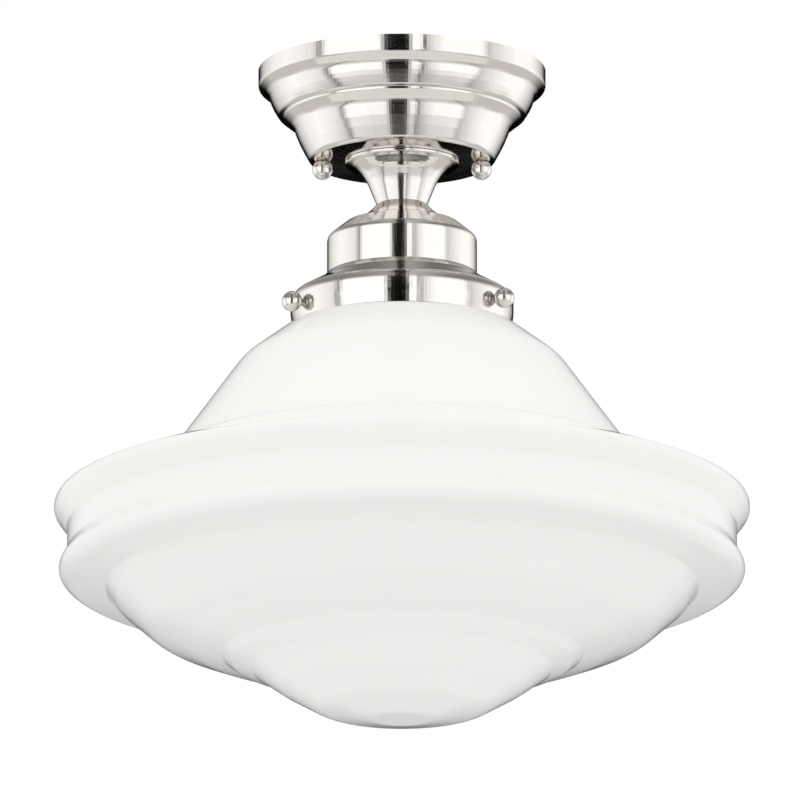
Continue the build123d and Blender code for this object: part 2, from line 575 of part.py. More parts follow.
def socket_body():
    """The porcelain: a glazed drum, bored for the screw shell and drilled for its screws."""
    body = spun([(0, SOCKET_TOP, 0), (SOCKET_RADIUS, SOCKET_TOP, 1.5),
                 (SOCKET_RADIUS, SOCKET_MOUTH, 1.2), (SOCKET_BORE_RADIUS, SOCKET_MOUTH, 0),
                 (SOCKET_BORE_RADIUS, SOCKET_FLOOR, 0), (0, SOCKET_FLOOR, 0)])
    screw_end = SOCKET_TOP + BRACKET_THICKNESS - BRACKET_SCREW_LENGTH
    for side in (-1, 1):
        body -= Pos(0, side * (BRACKET_SPAN + BRACKET_FOOT) / 2, 0) * disc(
            BRACKET_SCREW_RADIUS + THREAD_CLEARANCE, screw_end, SOCKET_TOP)
        body -= Pos(side * TERMINAL_PLACE, 0, 0) * disc(
            TERMINAL_SCREW_RADIUS + THREAD_CLEARANCE, SOCKET_TOP - TERMINAL_SCREW_DEPTH, SOCKET_TOP)
    return body


def screw_shell():
    """The rolled thread as rings: flat crests inside, a groove between each two."""
    crest = SHELL_CREST_RADIUS
    root = crest + SHELL_THREAD_DEPTH
    flat = SHELL_FLAT
    ramp = (SHELL_PITCH - 2 * flat) / 2
    top = SOCKET_FLOOR - SHELL_WALL
    first_crest = top - SHELL_PLAIN_LENGTH - ramp
    inside = [(root, top, 0), (root, first_crest + ramp, 0)]
    for turn in range(SHELL_TURNS):
        start = first_crest - turn * SHELL_PITCH
        inside += [(crest, start, 0), (crest, start - flat, 0),
                   (root, start - flat - ramp, 0), (root, start - 2 * flat - ramp, 0)]
    last_crest = first_crest - SHELL_TURNS * SHELL_PITCH
    inside += [(crest, last_crest, 0), (crest, last_crest - flat, 0)]
    outside = [(radius + SHELL_WALL, height, 0) for radius, height, _ in inside]
    outside[0] = (root + SHELL_WALL, SOCKET_FLOOR, 0)
    base_hole = CONTACT_LENGTH / 2 + SHELL_BASE_MARGIN
    floor = [(base_hole, SOCKET_FLOOR, 0), (base_hole, top, 0)]
    return spun(floor + inside + outside[::-1])


def centre_contact():
    """A brass tongue riveted to the socket's floor, its free end bent down to the lamp."""
    flat_length = CONTACT_LENGTH / 2
    level = SOCKET_FLOOR
    flat = [(-flat_length, level), (0, level), (CONTACT_TIP, level - CONTACT_RISE),
            (CONTACT_TIP, level - CONTACT_RISE - CONTACT_THICKNESS),
            (0, level - CONTACT_THICKNESS), (-flat_length, level - CONTACT_THICKNESS)]
    strip = make_face(Polyline(*flat, close=True).edges())
    strip = extrude(Plane.XZ * strip, CONTACT_WIDTH / 2, both=True)
    rivet = Pos(CONTACT_RIVET_PLACE, 0, 0) * disc(
        CONTACT_RIVET_RADIUS, level - 2 * CONTACT_THICKNESS, level)
    return strip + rivet


def terminal_screw(side):
    screw = pan_head_screw(SCREW_HEAD_RADIUS, SCREW_HEAD_HEIGHT, TERMINAL_SCREW_RADIUS,
                           TERMINAL_SCREW_DEPTH - HOLE_END_CLEARANCE + 2 * LEAD_RADIUS)
    head_seat = SOCKET_TOP + 2 * LEAD_RADIUS + WIRE_CLEARANCE
    return Pos(side * TERMINAL_PLACE, 0, head_seat) * screw


# ================================================================ wiring
def lead_route(side):
    """From a terminal screw, up the nipple and over to a connector in the canopy."""
    bore = side * LEAD_SPREAD
    terminal = side * (TERMINAL_PLACE - TERMINAL_SCREW_RADIUS - WIRE_CLEARANCE)
    under_head = SOCKET_TOP + LEAD_RADIUS + WIRE_CLEARANCE / 2
    mouth = side * WIRE_NUT_PLACE
    return [
        (terminal, 0, under_head),
        (bore, 0, under_head),
        (bore, 0, NIPPLE_TOP + LEAD_RISE),
        (side * LEAD_TURN[0], -LEAD_TURN[1], LEAD_RISE - WIRE_NUT_DROP),
        (mouth - side * WIRE_NUT_APPROACH, -WIRE_NUT_FORWARD, -WIRE_NUT_DROP),
        (mouth + side * WIRE_NUT_GRIP, -WIRE_NUT_FORWARD, -WIRE_NUT_DROP),
    ]


def lead(side):
    return wire_along(lead_route(side), [5.5, 9.0, 8.0, 7.0], LEAD_RADIUS)


def wire_nut(side):
    """A fluted cone pushed over the lead's end, its mouth towards the axis."""
    bore = LEAD_RADIUS + WIRE_CLEARANCE
    bore_end = WIRE_NUT_GRIP + HOLE_END_CLEARANCE
    cone = spun([(bore, 0, 0), (WIRE_NUT_MOUTH_RADIUS, 0, 1.0),
                 (WIRE_NUT_TIP_RADIUS, WIRE_NUT_LENGTH, 1.6), (0, WIRE_NUT_LENGTH, 0),
                 (0, bore_end, 0), (bore, bore_end, 0)])
    for step in range(WIRE_NUT_FLUTES):
        flute = Pos(WIRE_NUT_MOUTH_RADIUS, 0, WIRE_NUT_LENGTH / 2) * Cylinder(
            WIRE_NUT_FLUTE_RADIUS, WIRE_NUT_FLUTE_LENGTH)
        cone -= Rot(0, 0, step * 360 / WIRE_NUT_FLUTES) * flute
    mouth = Pos(side * WIRE_NUT_PLACE, -WIRE_NUT_FORWARD, -WIRE_NUT_DROP)
    return mouth * Rot(0, 90 * side, 0) * cone


def ground_route():
    """From under the ground screw's head, round the back of the canopy and into its crimp."""
    level = STRAP_BOTTOM - GROUND_LEAD_RADIUS
    start_y = GROUND_SCREW_RADIUS + GROUND_LEAD_RADIUS + WIRE_CLEARANCE
    crimp_level = CANOPY_WASHER_TOP + GROUND_LEAD_RADIUS + WIRE_CLEARANCE + RING_TERMINAL_THICKNESS
    last_side, last_back, last_rise = GROUND_LEAD_LAST_TURN
    return [
        (GROUND_SCREW_PLACE - GROUND_LEAD_LOOP[0], start_y, level),
        (GROUND_SCREW_PLACE + GROUND_LEAD_LOOP[1], start_y, level),
        *[(side, back, STRAP_BOTTOM - drop) for side, back, drop in GROUND_LEAD_TURNS],
        (last_side, last_back, crimp_level + last_rise),
        (0, GROUND_LEAD_DESCENT, crimp_level),
        (0, RING_TERMINAL_REACH - CRIMP_LENGTH / 2, crimp_level),
    ]


def ground_lead():
    return wire_along(ground_route(), [4.0, 8.0, 8.0, 5.0, 4.5], GROUND_LEAD_RADIUS)


# ================================================================ the assembly
def both(make):
    """A left and a right copy as one group of separate solids."""
    return Compound(children=[make(-1), make(1)])


PARTS = {
    "mounting_strap": mounting_strap(),
    "canopy_studs": both(canopy_stud),
    "stud_lock_nuts": both(stud_nut),
    "ground_screw": ground_screw(),
    "canopy": canopy(),
    "ball_nut_left": ball_nut(-1),
    "ball_nut_right": ball_nut(1),
    "threaded_nipple": nipple(),
    "canopy_washer": tube(CANOPY_WASHER_RADIUS, NIPPLE_HOLE, CANOPY_FLOOR, CANOPY_WASHER_TOP),
    "ring_terminal": ring_terminal(),
    "lock_washer": lock_washer(),
    "canopy_locknut": hex_nut(LOCKNUT_ACROSS_FLATS, NIPPLE_RADIUS + THREAD_CLEARANCE,
                              LOCK_WASHER_TOP, CANOPY_LOCKNUT_TOP),
    "neck": neck(),
    "socket_cup": socket_cup(),
    "shade_holder": shade_holder(),
    "holder_washer": tube(HOLDER_WASHER_RADIUS, NIPPLE_HOLE, HOLDER_WASHER_BOTTOM, HOLDER_CEILING),
    "holder_locknut": hex_nut(LOCKNUT_ACROSS_FLATS, NIPPLE_RADIUS + THREAD_CLEARANCE,
                              HOLDER_LOCKNUT_BOTTOM, HOLDER_WASHER_BOTTOM),
    "thumb_screw_left": thumb_screw(THUMB_SCREW_ANGLES[0]),
    "thumb_screw_right": thumb_screw(THUMB_SCREW_ANGLES[1]),
    "thumb_screw_back": thumb_screw(THUMB_SCREW_ANGLES[2]),
    "glass_shade": glass_shade(),
    "socket_bracket": socket_bracket(),
    "bracket_screws": both(bracket_screw),
    "socket_body": socket_body(),
    "screw_shell": screw_shell(),
    "centre_contact": centre_contact(),
    "terminal_screw_hot": terminal_screw(1),
    "terminal_screw_neutral": terminal_screw(-1),
    "lead_hot": lead(1),
    "lead_neutral": lead(-1),
    "wire_nut_hot": wire_nut(1),
    "wire_nut_neutral": wire_nut(-1),
    "ground_lead": ground_lead(),
}

if __name__ == "__main__":
    os.makedirs("parts", exist_ok=True)
    for name, shape in PARTS.items():
        export_step(shape, f"parts/{name}.step")
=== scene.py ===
"""Semi flush ceiling light: the visual model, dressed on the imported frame.

Metres, +Z up, the origin on the axis in the ceiling plane.  Outlines and named lengths are in
millimetres.  Angles round the light are in degrees, counted from the front (-Y) towards +X.
"""
import math

import bmesh
import bpy
from bpy.props import FloatProperty, FloatVectorProperty, IntProperty, PointerProperty
from mathutils import Matrix, Vector


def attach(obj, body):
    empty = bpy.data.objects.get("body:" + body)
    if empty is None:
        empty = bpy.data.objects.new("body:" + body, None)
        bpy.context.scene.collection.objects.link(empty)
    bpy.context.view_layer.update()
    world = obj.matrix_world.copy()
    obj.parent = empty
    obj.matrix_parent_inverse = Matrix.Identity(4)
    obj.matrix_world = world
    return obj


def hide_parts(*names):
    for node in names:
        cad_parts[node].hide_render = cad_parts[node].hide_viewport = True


bl_info = {
    "name": "Semi flush ceiling light",
    "version": (1, 0, 0),
    "blender": (4, 5, 0),
    "location": "3D View > Sidebar > Ceiling light",
    "description": "Turned nickel pieces, an opal glass shade, the wiring and a studio",
    "category": "Object",
}

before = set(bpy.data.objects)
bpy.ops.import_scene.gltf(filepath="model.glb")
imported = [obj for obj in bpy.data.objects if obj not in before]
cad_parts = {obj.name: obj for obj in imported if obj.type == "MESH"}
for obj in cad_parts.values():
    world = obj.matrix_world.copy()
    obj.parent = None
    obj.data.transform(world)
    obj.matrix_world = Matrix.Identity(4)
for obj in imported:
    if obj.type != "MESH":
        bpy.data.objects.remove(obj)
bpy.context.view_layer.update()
MM = 0.001

SHEET_WALL = 0.9
GLASS_WALL = 3.0
HOLDER_RADIUS = 49.0
THUMB_SCREW_ANGLES = {"left": -63.6, "right": 56.4, "back": 176.4}
THUMB_SCREW_LEVEL = -110.8
THUMB_SCREW_RADIUS = 1.5
THUMB_SCREW_CHAMFER = 0.5
THUMB_SCREW_TIP = 40.4            # how far from the axis each tip stands
THUMB_SCREW_HOLE = 1.56           # radius of the holes that they turn in
THUMB_SCREW_HOLE_REACH = 4.0      # of the drill, in and out of the holder's wall
BALL_RADIUS = 4.5                 # of the screws' heads and of the ball nuts
BALL_GAP = 0.25                   # between a screw's ball and the holder
COLLAR_RADIUS = 3.2               # of the threaded collars inside the holder
COLLAR_LENGTH = 3.0
COLLAR_LAP = 0.2                  # how far a collar reaches into the holder's wall
STUD_PLACE = 34.925               # of each stud and its ball nut, out from the axis
STUD_HOLE = 2.6
STUD_HOLE_ENDS = (-46.0, -36.0)   # of the drill, below and above the canopy's floor
NUT_LEVEL = -41.45                # of each ball nut's flat top
NUT_TOP = 3.2                     # radius of that top
NUT_BORE = 2.13
NUT_BORE_DEPTH = 6.2

# how finely the pieces are cut
ARC_STEP = 6.0                    # degrees between the points of a rounding
GLASS_ARC_STEP = 5.0
BALL_STEPS = 28
BALL_SEGMENTS = 48
HOLE_SEGMENTS = 32
SHARP_ANGLE = 40.0                # degrees, past which an edge isn't smoothed
WELD_DISTANCE = 0.002


def linear(code):
    """An sRGB hex value as linear red, green, blue and alpha."""
    channels = [int(code[i:i + 2], 16) / 255 for i in (0, 2, 4)]
    return tuple(c / 12.92 if c <= 0.04045 else ((c + 0.055) / 1.055) ** 2.4
                 for c in channels) + (1.0,)


# ---------------------------------------------------- outlines: (radius, height, rounding)
CANOPY_OUTSIDE = [
    (63.2, 0.0, 0), (63.2, -7.3, 1.7), (58.9, -10.4, 4.5), (57.3, -15.4, 24.0),
    (54.0, -20.55, 2.2), (52.2, -20.55, 0.4), (52.2, -21.6, 0.8), (47.8, -25.2, 6.5),
    (45.6, -31.6, 54.0), (40.4, -41.2, 3.0), (5.2, -41.2, 0),
]
NECK_OUTLINE = [
    (5.2, -60.9, 0), (5.2, -58.7, 0), (10.2, -58.7, 0), (13.9, -50.6, 12.7), (17.4, -44.6, 4.3),
    (19.0, -41.2, 0), (25.2, -41.2, 0.4), (25.2, -42.7, 1.2), (22.6, -43.2, 3.0),
    (18.2, -46.0, 10.0), (15.0, -51.2, 14.0), (11.1, -60.9, 0.25),
]
CUP_OUTSIDE = [
    (5.2, -60.9, 0), (11.2, -60.9, 0.4), (16.6, -67.0, 20.0), (24.7, -69.5, 3.0),
    (32.9, -76.2, 3.6), (32.9, -92.9, 0),
]
HOLDER_OUTSIDE = [
    (5.2, -92.9, 0), (33.3, -92.9, 0.5), (35.8, -95.7, 3.5), (49.0, -102.9, 5.6),
    (49.0, -110.9, 14.0), (47.9, -116.9, 0),
]
GLASS_LIP = [(37.1, -104.2, 0.6), (41.3, -104.2, 0.8), (41.3, -106.6, 0.8)]
GLASS_OUTSIDE = [
    (40.1, -106.6, 0.3), (40.1, -117.7, 2.5), (50.8, -117.7, 2.5), (70.7, -132.6, 30.0),
    (103.1, -177.2, 8.0), (152.4, -195.4, 3.8), (152.4, -199.6, 3.6), (146.7, -207.0, 1.8),
    (146.7, -218.8, 4.0), (150.2, -224.6, 4.0), (150.2, -228.0, 4.0), (146.5, -230.8, 8.0),
    (129.8, -233.8, 2.4), (125.0, -240.2, 10.0), (109.7, -253.6, 25.0), (92.0, -260.6, 50.0),
    (79.0, -264.2, 3.5), (74.5, -267.4, 4.5), (66.0, -270.6, 4.0), (53.2, -279.6, 20.0),
    (36.7, -289.0, 22.0), (13.0, -293.4, 30.0), (0.0, -293.4, 0),
]

# ---------------------------------------------------- the studio's soft light
# what the metal mirrors: (angle round the light, level) on the walls, between the dark back wall
# and the dark gap that the camera looks through
WALL_LIGHT = [
    (-162, 0.0), (-156, 0.35), (-149, 0.7), (-139, 0.98), (-128, 1.2), (-108, 1.38), (-90, 1.25),
    (-76, 1.1), (-73, 0.8), (-71, 0.3), (-69.5, 0.3), (-67, 0.95), (-63, 1.5), (-18, 1.5),
    (-13.5, 0.0), (6, 0.0), (8.5, 1.5), (16, 1.5), (17.3, 0.12), (18.9, 0.12), (20.3, 0.85),
    (28, 1.2), (37, 1.5), (68, 1.45), (75, 0.72), (77, 0.95), (92, 1.22), (108, 1.42),
    (128, 1.35), (142, 0.95), (154, 0.45), (162, 0.0),
]
# (place from left to right, level) on the ceiling
CEILING_LIGHT = [
    (0.0, 0.24), (0.2, 0.3), (0.36, 0.42), (0.425, 0.42), (0.455, 0.03), (0.52, 0.03),
    (0.55, 0.6), (0.62, 0.55), (0.8, 0.28), (1.0, 0.22),
]
BACK_FLOOR_LIGHT = (0.75, 0.72, 0.7, 1.0)
WHITE = (1.0, 1.0, 1.0, 1.0)
PICTURE_WIDTH = 800               # pixels
PICTURE_SHIFT = (-2.0, 1.6)       # pixels


def inner_corners(corners, wall):
    """The corners of an outline's inner side, with the roundings to suit."""
    directions = []
    for (r0, z0, _), (r1, z1, _) in zip(corners, corners[1:]):
        length = math.hypot(r1 - r0, z1 - z0)
        directions.append(((r1 - r0) / length, (z1 - z0) / length))
    inside = []
    for i, (radius, height, rounding) in enumerate(corners):
        before = directions[max(i - 1, 0)]
        after = directions[min(i, len(directions) - 1)]
        scale = wall / (1 + before[0] * after[0] + before[1] * after[1])
        turn = before[0] * after[1] - before[1] * after[0]
        if rounding == 0:
            inner = 0
        elif turn < 0:
            inner = max(rounding - wall, 0)
        else:
            inner = rounding + wall
        inside.append((radius + (before[1] + after[1]) * scale,
                       height - (before[0] + after[0]) * scale, inner))
    return inside


def rounded(corners, step, closed):
    """Points along an outline, each rounding an arc with a point every step degrees."""
    count = len(corners)
    points = []
    for i, (radius, height, rounding) in enumerate(corners):
        here = Vector((radius, height))
        ends = not closed and i in (0, count - 1)
        if rounding <= 0 or ends:
            points.append(here)
            continue
        to_last = (Vector(corners[i - 1][:2]) - here).normalized()
        to_next = (Vector(corners[(i + 1) % count][:2]) - here).normalized()
        opening = to_last.angle(to_next)
        reach = rounding / math.tan(opening / 2)
        middle = here + (to_last + to_next).normalized() * (rounding / math.sin(opening / 2))
        start, end = here + to_last * reach - middle, here + to_next * reach - middle
        turn = math.pi - opening
        steps = max(2, math.ceil(math.degrees(turn) / step))
        sign = 1 if start.x * end.y - start.y * end.x > 0 else -1
        for k in range(steps + 1):
            points.append(middle + Matrix.Rotation(sign * turn * k / steps, 2) @ start)
    if closed:
        points.append(points[0].copy())
    return [(p.x * MM, p.y * MM) for p in points]


# ---------------------------------------------------- materials
def add(tree, kind, values=None, links=None, **settings):
    """Add one node with its settings, its unlinked values and its links."""
    node = tree.nodes.new(kind)
    for name, value in settings.items():
        setattr(node, name, value)
    for socket, value in (values or {}).items():
        node.inputs[socket].default_value = value
    for socket, source in (links or {}).items():
        tree.links.new(source, node.inputs[socket])
    return node


def new_material(name):
    material = bpy.data.materials.get(name) or bpy.data.materials.new(name)
    material.use_nodes = True
    material.node_tree.nodes.clear()
    return material, material.node_tree


def finish_material(tree, shader):
    add(tree, "ShaderNodeOutputMaterial", links={"Surface": shader.outputs[0]})


def turned_nickel():
    """Satin nickel plate on spun steel: bright, with hair lines running round every piece."""
    look = bpy.context.scene.ceiling_light_metal
    material, tree = new_material("satin nickel, turned")
    # the outline's own map: round the piece, and metres along its outline
    place = add(tree, "ShaderNodeUVMap", uv_map="UVMap")
    along = add(tree, "ShaderNodeSeparateXYZ", links={"Vector": place.outputs["UV"]})
    # hair lines are about 0.1 mm apart on the real plate; drawn coarser so that they show
    hair = add(tree, "ShaderNodeTexNoise",
               {"Scale": 1 / (look.line_spacing * MM), "Detail": 2.0, "Roughness": 0.6},
               {"W": along.outputs["Y"]}, noise_dimensions="1D")
    # soft handling marks, about 20 mm across, only change the gloss
    where = add(tree, "ShaderNodeTexCoord")
    marks = add(tree, "ShaderNodeTexNoise", {"Scale": 1 / 0.02, "Detail": 2.0},
                {"Vector": where.outputs["Object"]})
    gloss = add(tree, "ShaderNodeMapRange", {"From Min": 0.3, "From Max": 0.7,
                                             "To Min": look.roughness - 0.008,
                                             "To Max": look.roughness + 0.008},
                {"Value": marks.outputs["Fac"]})
    tint = add(tree, "ShaderNodeMix", {"A": tuple(look.colour) + (1.0,), "B": linear("E2DEDA")},
               {"Factor": hair.outputs["Fac"]}, data_type="RGBA")
    bump = add(tree, "ShaderNodeBump", {"Strength": 1.0, "Distance": look.line_depth * MM},
               {"Height": hair.outputs["Fac"]})
    # the lines spread each reflection along the outline, and hardly round the piece
    round_it = add(tree, "ShaderNodeTangent", direction_type="UV_MAP", uv_map="UVMap")
    shader = add(tree, "ShaderNodeBsdfPrincipled",
                 {"Metallic": 1.0, "Anisotropic": 0.75, "Anisotropic Rotation": 0.25},
                 {"Base Color": tint.outputs["Result"], "Roughness": gloss.outputs["Result"],
                  "Normal": bump.outputs["Normal"], "Tangent": round_it.outputs[0]})
    finish_material(tree, shader)
    return material


def opal_glass():
    """Opal glass, blown in a mould and fire polished: milk white, very smooth, faintly wavy."""
    look = bpy.context.scene.ceiling_light_glass
    material, tree = new_material("opal glass, mould blown")
    where = add(tree, "ShaderNodeTexCoord")
    # the mould leaves waves about 35 mm long
    wave = add(tree, "ShaderNodeTexNoise", {"Scale": 1 / 0.035, "Detail": 1.0},
               {"Vector": where.outputs["Object"]})
    bump = add(tree, "ShaderNodeBump", {"Strength": 0.35, "Distance": 0.08 * MM},
               {"Height": wave.outputs["Fac"]})
    # the milkiness is a little uneven, over about 60 mm
    cloud = add(tree, "ShaderNodeTexNoise", {"Scale": 1 / 0.06, "Detail": 2.0},
                {"Vector": where.outputs["Object"]})
    tint = add(tree, "ShaderNodeMix", {"A": tuple(look.colour) + (1.0,), "B": linear("F7F6F4")},
               {"Factor": cloud.outputs["Fac"]}, data_type="RGBA")
    # the skin mirrors little: the room shows in it only as a thin line at the edges
    shader = add(tree, "ShaderNodeBsdfPrincipled",
                 {"Roughness": look.roughness, "IOR": 1.5, "Specular IOR Level": 0.04},
                 {"Base Color": tint.outputs["Result"], "Normal": bump.outputs["Normal"]})
    finish_material(tree, shader)
    return material


def plated_steel(name, first, second, roughness):
    """Zinc plate on pressed or turned steel: dull silver with a faint crystal mottle."""
    material, tree = new_material(name)
    where = add(tree, "ShaderNodeTexCoord")
    # zinc crystals about 1.5 mm across
    crystals = add(tree, "ShaderNodeTexVoronoi", {"Scale": 1 / 0.0015},
                   {"Vector": where.outputs["Object"]})
    grain = add(tree, "ShaderNodeTexNoise", {"Scale": 1 / 0.0006, "Detail": 2.0},
                {"Vector": where.outputs["Object"]})
    tint = add(tree, "ShaderNodeMix", {"A": linear(first), "B": linear(second)},
               {"Factor": crystals.outputs["Color"]}, data_type="RGBA")
    gloss = add(tree, "ShaderNodeMapRange",
                {"To Min": roughness - 0.06, "To Max": roughness + 0.08},
                {"Value": grain.outputs["Fac"]})
    bump = add(tree, "ShaderNodeBump", {"Strength": 0.3, "Distance": 0.02 * MM},
               {"Height": grain.outputs["Fac"]})
    shader = add(tree, "ShaderNodeBsdfPrincipled", {"Metallic": 1.0},
                 {"Base Color": tint.outputs["Result"], "Roughness": gloss.outputs["Result"],
                  "Normal": bump.outputs["Normal"]})
    finish_material(tree, shader)
    return material


def glazed_porcelain():
    """Porcelain under a clear glaze: creamy white, wet gloss, with rare iron specks."""
    material, tree = new_material("porcelain, clear glazed")
    where = add(tree, "ShaderNodeTexCoord")
    # specks about 0.4 mm across, some 4 mm apart
    specks = add(tree, "ShaderNodeTexVoronoi", {"Scale": 1 / 0.004, "Randomness": 1.0},
                 {"Vector": where.outputs["Object"]})
    speck = add(tree, "ShaderNodeMapRange", {"From Min": 0.05, "From Max": 0.09},
                {"Value": specks.outputs["Distance"]})
    tint = add(tree, "ShaderNodeMix", {"A": linear("A58E6E"), "B": linear("F1EDE4")},
               {"Factor": speck.outputs["Result"]}, data_type="RGBA")
    # the glaze pools in waves about 8 mm long
    glaze = add(tree, "ShaderNodeTexNoise", {"Scale": 1 / 0.008, "Detail": 1.0},
                {"Vector": where.outputs["Object"]})
    bump = add(tree, "ShaderNodeBump", {"Strength": 0.3, "Distance": 0.05 * MM},
               {"Height": glaze.outputs["Fac"]})
    shader = add(tree, "ShaderNodeBsdfPrincipled",
                 {"Roughness": 0.12, "IOR": 1.5, "Coat Weight": 0.6, "Coat Roughness": 0.04},
                 {"Base Color": tint.outputs["Result"], "Normal": bump.outputs["Normal"]})
    finish_material(tree, shader)
    return material


def soft_plastic(name, colour, grain_size, roughness):
    """Moulded or extruded PVC: even colour, a fine grain and a soft sheen."""
    material, tree = new_material(name)
    where = add(tree, "ShaderNodeTexCoord")
    grain = add(tree, "ShaderNodeTexNoise", {"Scale": 1 / (grain_size * MM), "Detail": 3.0},
                {"Vector": where.outputs["Object"]})
    lighter = tuple(min(1.0, c * 1.18 + 0.004) for c in colour[:3]) + (1.0,)
    tint = add(tree, "ShaderNodeMix", {"A": tuple(colour[:3]) + (1.0,), "B": lighter},
               {"Factor": grain.outputs["Fac"]}, data_type="RGBA")
    gloss = add(tree, "ShaderNodeMapRange",
                {"To Min": roughness - 0.05, "To Max": roughness + 0.07},
                {"Value": grain.outputs["Fac"]})
    bump = add(tree, "ShaderNodeBump", {"Strength": 0.25, "Distance": 0.02 * MM},
               {"Height": grain.outputs["Fac"]})
    shader = add(tree, "ShaderNodeBsdfPrincipled", {"IOR": 1.5},
                 {"Base Color": tint.outputs["Result"], "Roughness": gloss.outputs["Result"],
                  "Normal": bump.outputs["Normal"]})
    finish_material(tree, shader)
    return material


def warm_metal(name, bright, dull, roughness):
    """Brass or copper as drawn or stamped: warm, with patches a little dulled by air."""
    material, tree = new_material(name)
    where = add(tree, "ShaderNodeTexCoord")
    # tarnish comes in patches about 5 mm across
    patches = add(tree, "ShaderNodeTexNoise", {"Scale": 1 / 0.005, "Detail": 4.0},
                  {"Vector": where.outputs["Object"]})
    tint = add(tree, "ShaderNodeMix", {"A": linear(bright), "B": linear(dull)},
               {"Factor": patches.outputs["Fac"]}, data_type="RGBA")
    gloss = add(tree, "ShaderNodeMapRange",
                {"To Min": roughness - 0.08, "To Max": roughness + 0.12},
                {"Value": patches.outputs["Fac"]})
    shader = add(tree, "ShaderNodeBsdfPrincipled", {"Metallic": 1.0},
                 {"Base Color": tint.outputs["Result"], "Roughness": gloss.outputs["Result"]})
    finish_material(tree, shader)
    return material


# ---------------------------------------------------- turned pieces
def turning_tree():
    """Geometry nodes that turn an outline in the X-Z plane round the Z axis."""
    name = "Turn an outline"
    if name in bpy.data.node_groups:
        return bpy.data.node_groups[name]
    tree = bpy.data.node_groups.new(name, "GeometryNodeTree")
    face = tree.interface
    face.new_socket("Outline", in_out="INPUT", socket_type="NodeSocketGeometry")
    face.new_socket("Segments", in_out="INPUT", socket_type="NodeSocketInt")
    face.new_socket("Sharp Angle", in_out="INPUT", socket_type="NodeSocketFloat")
    face.new_socket("Weld Distance", in_out="INPUT", socket_type="NodeSocketFloat")
    face.new_socket("Finish", in_out="INPUT", socket_type="NodeSocketMaterial")
    face.new_socket("Turned Piece", in_out="OUTPUT", socket_type="NodeSocketGeometry")
    inputs = add(tree, "NodeGroupInput").outputs
    size = add(tree, "GeometryNodeAttributeDomainSize", links={"Geometry": inputs["Outline"]})
    columns = add(tree, "ShaderNodeMath", {1: 1.0}, {0: inputs["Segments"]})
    sheet = add(tree, "GeometryNodeMeshGrid",
                links={"Vertices X": columns.outputs[0],
                       "Vertices Y": size.outputs["Point Count"]})
    index = add(tree, "GeometryNodeInputIndex")
    column = add(tree, "ShaderNodeMath", operation="DIVIDE",
                 links={0: index.outputs[0], 1: size.outputs["Point Count"]})
    whole = add(tree, "ShaderNodeMath", operation="FLOOR", links={0: column.outputs[0]})
    row = add(tree, "ShaderNodeMath", operation="MODULO",
              links={0: index.outputs[0], 1: size.outputs["Point Count"]})
    share = add(tree, "ShaderNodeMath", operation="DIVIDE",
                links={0: whole.outputs[0], 1: inputs["Segments"]})
    angle = add(tree, "ShaderNodeMath", {1: math.tau}, {0: share.outputs[0]}, operation="MULTIPLY")
    place = add(tree, "GeometryNodeInputPosition")
    corner = add(tree, "GeometryNodeSampleIndex", data_type="FLOAT_VECTOR",
                 links={"Geometry": inputs["Outline"], "Value": place.outputs[0],
                        "Index": row.outputs[0]})
    turned = add(tree, "ShaderNodeVectorRotate", {"Axis": (0.0, 0.0, 1.0)},
                 {"Vector": corner.outputs[0], "Angle": angle.outputs[0]},
                 rotation_type="AXIS_ANGLE")
    shaped = add(tree, "GeometryNodeSetPosition",
                 links={"Geometry": sheet.outputs["Mesh"], "Position": turned.outputs[0]})
    run_name = add(tree, "GeometryNodeInputNamedAttribute", {"Name": "run"}, data_type="FLOAT")
    run = add(tree, "GeometryNodeSampleIndex", data_type="FLOAT",
              links={"Geometry": inputs["Outline"], "Value": run_name.outputs[0],
                     "Index": row.outputs[0]})
    across = add(tree, "ShaderNodeSeparateXYZ", links={0: sheet.outputs["UV Map"]})
    chart = add(tree, "ShaderNodeCombineXYZ", links={0: across.outputs[0], 1: run.outputs[0]})
    mapped = add(tree, "GeometryNodeStoreNamedAttribute", {"Name": "UVMap"},
                 {"Geometry": shaped.outputs[0], "Value": chart.outputs[0]},
                 data_type="FLOAT2", domain="CORNER")
    welded = add(tree, "GeometryNodeMergeByDistance",
                 links={"Geometry": mapped.outputs[0], "Distance": inputs["Weld Distance"]})
    edge = add(tree, "GeometryNodeInputMeshEdgeAngle")
    gentle = add(tree, "ShaderNodeMath", operation="LESS_THAN",
                 links={0: edge.outputs["Unsigned Angle"], 1: inputs["Sharp Angle"]})
    smooth = add(tree, "GeometryNodeSetShadeSmooth", domain="EDGE",
                 links={"Geometry": welded.outputs[0], "Shade Smooth": gentle.outputs[0]})
    real = add(tree, "GeometryNodeRealizeInstances", links={"Geometry": smooth.outputs[0]})
    finished = add(tree, "GeometryNodeSetMaterial",
                   links={"Geometry": real.outputs[0], "Material": inputs["Finish"]})
    add(tree, "NodeGroupOutput", links={0: finished.outputs[0]})
    return tree


